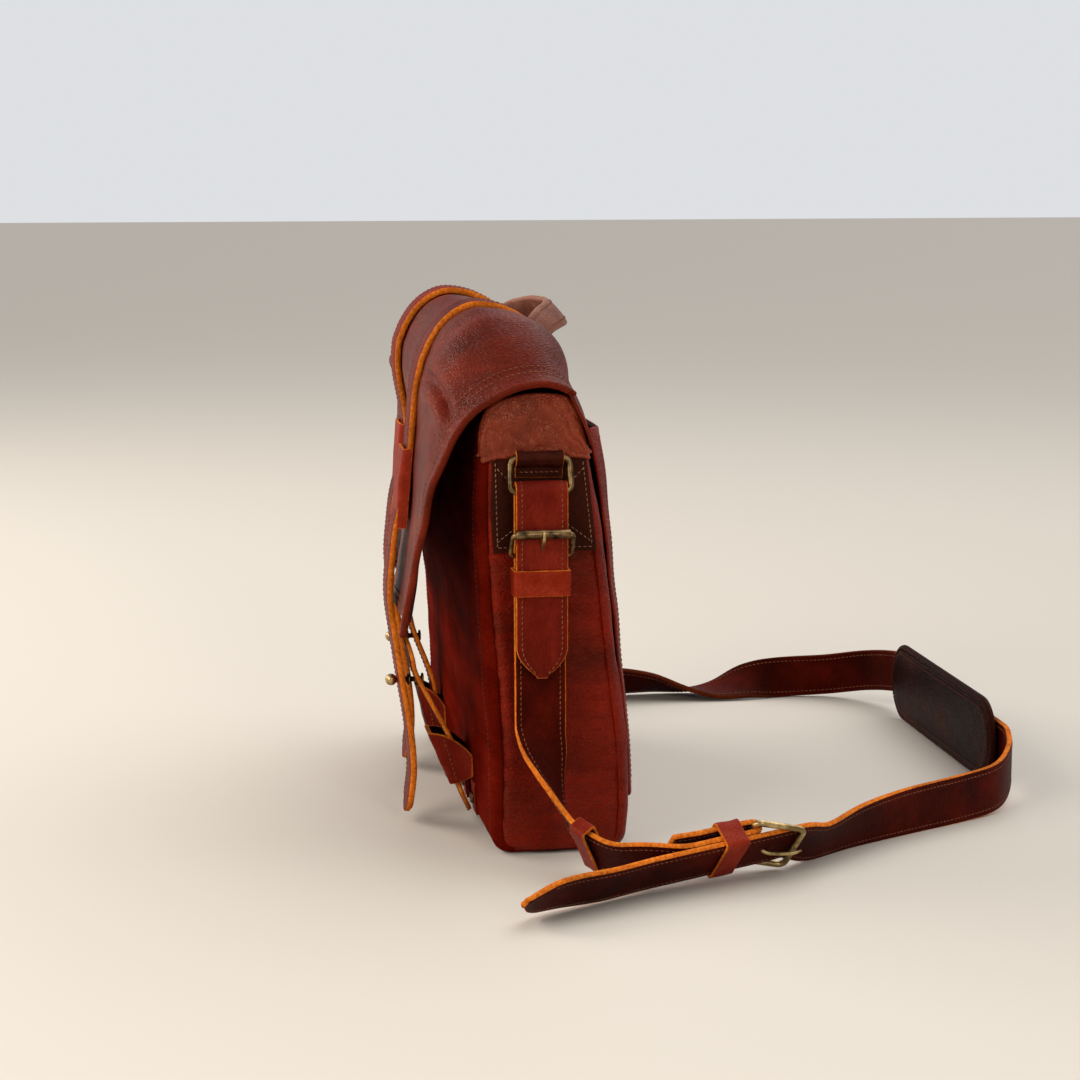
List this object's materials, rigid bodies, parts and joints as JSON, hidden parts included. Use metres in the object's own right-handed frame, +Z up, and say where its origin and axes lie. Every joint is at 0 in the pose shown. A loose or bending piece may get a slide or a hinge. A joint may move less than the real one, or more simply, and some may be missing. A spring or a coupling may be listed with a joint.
{
  "type": "camera bag",
  "caption": "Leather messenger-style camera bag with flap, buttoned closure straps, slip pocket, carry handle and a long buckled shoulder strap with pad.",
  "frame": {"origin": "on the floor plane, under the middle of the bag's foot", "axes": "+X along the bag's width towards the end with the buckled strap tail, +Y to the back with the slip pocket, +Z up"},
  "size_m": [0.6268, 0.4502, 0.355],
  "materials": {
    "body_leather": "pebbled semi-gloss",
    "cap_leather": "smooth satin",
    "patch_leather": "smooth satin",
    "strap_leather": "smooth semi-gloss",
    "pad_leather": "soft satin",
    "handle_leather": "smooth satin",
    "lining": "matte woven",
    "foam": "matte padded",
    "board": "matte",
    "brass": "aged satin"
  },
  "bodies": {
    "bag_body": {"front_panel": "body_leather", "back_panel": "body_leather", "base_panel": "body_leather", "base_board": "board", "body_lining": "lining", "padded_insert": "foam", "back_pocket": "body_leather", "back_pocket_lining": "lining", "holder_rivets": "brass", "gusset_near": "body_leather", "gusset_far": "body_leather", "gusset_cap_near": "cap_leather", "gusset_cap_far": "cap_leather", "ring_patch_near": "patch_leather", "ring_patch_far": "patch_leather", "ring_sleeve_near": "strap_leather", "ring_sleeve_far": "strap_leather", "tab_holder_near": "strap_leather", "tab_holder_far": "strap_leather", "strap_end_near": "strap_leather", "strap_end_far": "strap_leather", "end_buckle_near": "brass", "end_buckle_far": "brass", "end_keeper_near": "strap_leather", "end_keeper_far": "strap_leather"},
    "ring_near": {"strap_ring_near": "brass"},
    "ring_far": {"strap_ring_far": "brass"},
    "roller_near": {"end_roller_near": "brass"},
    "roller_far": {"end_roller_far": "brass"},
    "prong_near": {"end_prong_near": "brass"},
    "prong_far": {"end_prong_far": "brass"},
    "divider_near": {"divider_near": "foam"},
    "divider_far": {"divider_far": "foam"},
    "flap_top": {"flap_top": "body_leather", "handle_tabs": "handle_leather", "closure_strap_top_near": "strap_leather", "closure_strap_top_far": "strap_leather"},
    "handle": {"carry_handle": "handle_leather"},
    "flap_front": {"flap_front": "body_leather", "flap_lining": "lining", "closure_strap_front_near": "strap_leather", "closure_strap_front_far": "strap_leather", "flap_loop_near": "strap_leather", "flap_loop_far": "strap_leather"},
    "closure_tail_near": {"closure_strap_tail_near": "strap_leather"},
    "closure_tail_far": {"closure_strap_tail_far": "strap_leather"},
    "stud_tab_near": {"stud_tab_near": "strap_leather", "ball_stud_near": "brass"},
    "stud_tab_far": {"stud_tab_far": "strap_leather", "ball_stud_far": "brass"},
    "shoulder_strap": {"strap_short": "strap_leather", "strap_long": "strap_leather", "strap_buckle": "brass"},
    "strap_prong": {"strap_prong": "brass"},
    "strap_keeper": {"strap_keeper": "strap_leather"},
    "loose_keeper": {"strap_keeper_loose": "strap_leather"},
    "shoulder_pad": {"shoulder_pad": "pad_leather"}
  },
  "joints": [
    {"name": "flap_open", "type": "hinge", "parent": "bag_body", "child": "flap_top", "pos_m": [0, 0.0065, 0.3], "axis": [-1, 0, 0], "range_deg": [0, 70]},
    {"name": "flap_front_lift", "type": "hinge", "parent": "flap_top", "child": "flap_front", "pos_m": [0, -0.074, 0.3], "axis": [-1, 0, 0], "range_deg": [0, 45]},
    {"name": "closure_tail_near_lift", "type": "hinge", "parent": "flap_front", "child": "closure_tail_near", "pos_m": [0.076, -0.1013, 0.15], "axis": [-1, 0, 0], "range_deg": [0, 55]},
    {"name": "stud_tab_near_flex", "type": "hinge", "parent": "bag_body", "child": "stud_tab_near", "pos_m": [0.076, -0.0565, 0.034], "axis": [-1, 0, 0], "range_deg": [-1, 4]},
    {"name": "ring_near_swing", "type": "hinge", "parent": "bag_body", "child": "ring_near", "pos_m": [0.1813, -0.015, 0.261], "axis": [0, 1, 0], "range_deg": [-2.5, 2.5]},
    {"name": "end_roller_near_spin", "type": "hinge", "parent": "bag_body", "child": "roller_near", "pos_m": [0.1965, -0.015, 0.214], "axis": [0, 1, 0], "continuous": true},
    {"name": "end_prong_near_open", "type": "hinge", "parent": "bag_body", "child": "prong_near", "pos_m": [0.186, -0.015, 0.199], "axis": [0, 1, 0], "range_deg": [0, 22]},
    {"name": "divider_near_slide", "type": "slide", "parent": "bag_body", "child": "divider_near", "axis": [1, 0, 0], "range_m": [-0.025, 0.025]},
    {"name": "closure_tail_far_lift", "type": "hinge", "parent": "flap_front", "child": "closure_tail_far", "pos_m": [-0.076, -0.0863, 0.15], "axis": [-1, 0, 0], "range_deg": [0, 55]},
    {"name": "stud_tab_far_flex", "type": "hinge", "parent": "bag_body", "child": "stud_tab_far", "pos_m": [-0.076, -0.0565, 0.034], "axis": [-1, 0, 0], "range_deg": [-1, 4]},
    {"name": "ring_far_swing", "type": "hinge", "parent": "bag_body", "child": "ring_far", "pos_m": [-0.1813, -0.015, 0.261], "axis": [0, -1, 0], "range_deg": [-2.5, 2.5]},
    {"name": "end_roller_far_spin", "type": "hinge", "parent": "bag_body", "child": "roller_far", "pos_m": [-0.1965, -0.015, 0.214], "axis": [0, -1, 0], "continuous": true},
    {"name": "end_prong_far_open", "type": "hinge", "parent": "bag_body", "child": "prong_far", "pos_m": [-0.186, -0.015, 0.199], "axis": [0, -1, 0], "range_deg": [0, 22]},
    {"name": "divider_far_slide", "type": "slide", "parent": "bag_body", "child": "divider_far", "axis": [1, 0, 0], "range_m": [-0.025, 0.025]},
    {"name": "handle_lift", "type": "hinge", "parent": "flap_top", "child": "handle", "pos_m": [0, -0.009, 0.341], "axis": [1, 0, 0], "range_deg": [0, 55]},
    {"name": "shoulder_strap_lift", "type": "hinge", "parent": "bag_body", "child": "shoulder_strap", "pos_m": [0, -0.015, 0.112], "axis": [-1, 0, 0], "range_deg": [-75, 0]},
    {"name": "strap_prong_open", "type": "hinge", "parent": "shoulder_strap", "child": "strap_prong", "pos_m": [0.24855, 0.10565, 0.02404], "axis": [-0.6298, -0.189, -0.7535], "range_deg": [0, 18]},
    {"name": "strap_keeper_slide", "type": "slide", "parent": "shoulder_strap", "child": "strap_keeper", "axis": [-0.3494, 0.9352, 0.0575], "range_m": [-0.018, 0.002]},
    {"name": "loose_keeper_slide", "type": "slide", "parent": "shoulder_strap", "child": "loose_keeper", "axis": [0.8314, 0.4908, -0.2604], "range_m": [-0.002, 0.002]},
    {"name": "shoulder_pad_slide", "type": "slide", "parent": "shoulder_strap", "child": "shoulder_pad", "axis": [1, 0, 0], "range_m": [-0.006, 0.006]}
  ]
}
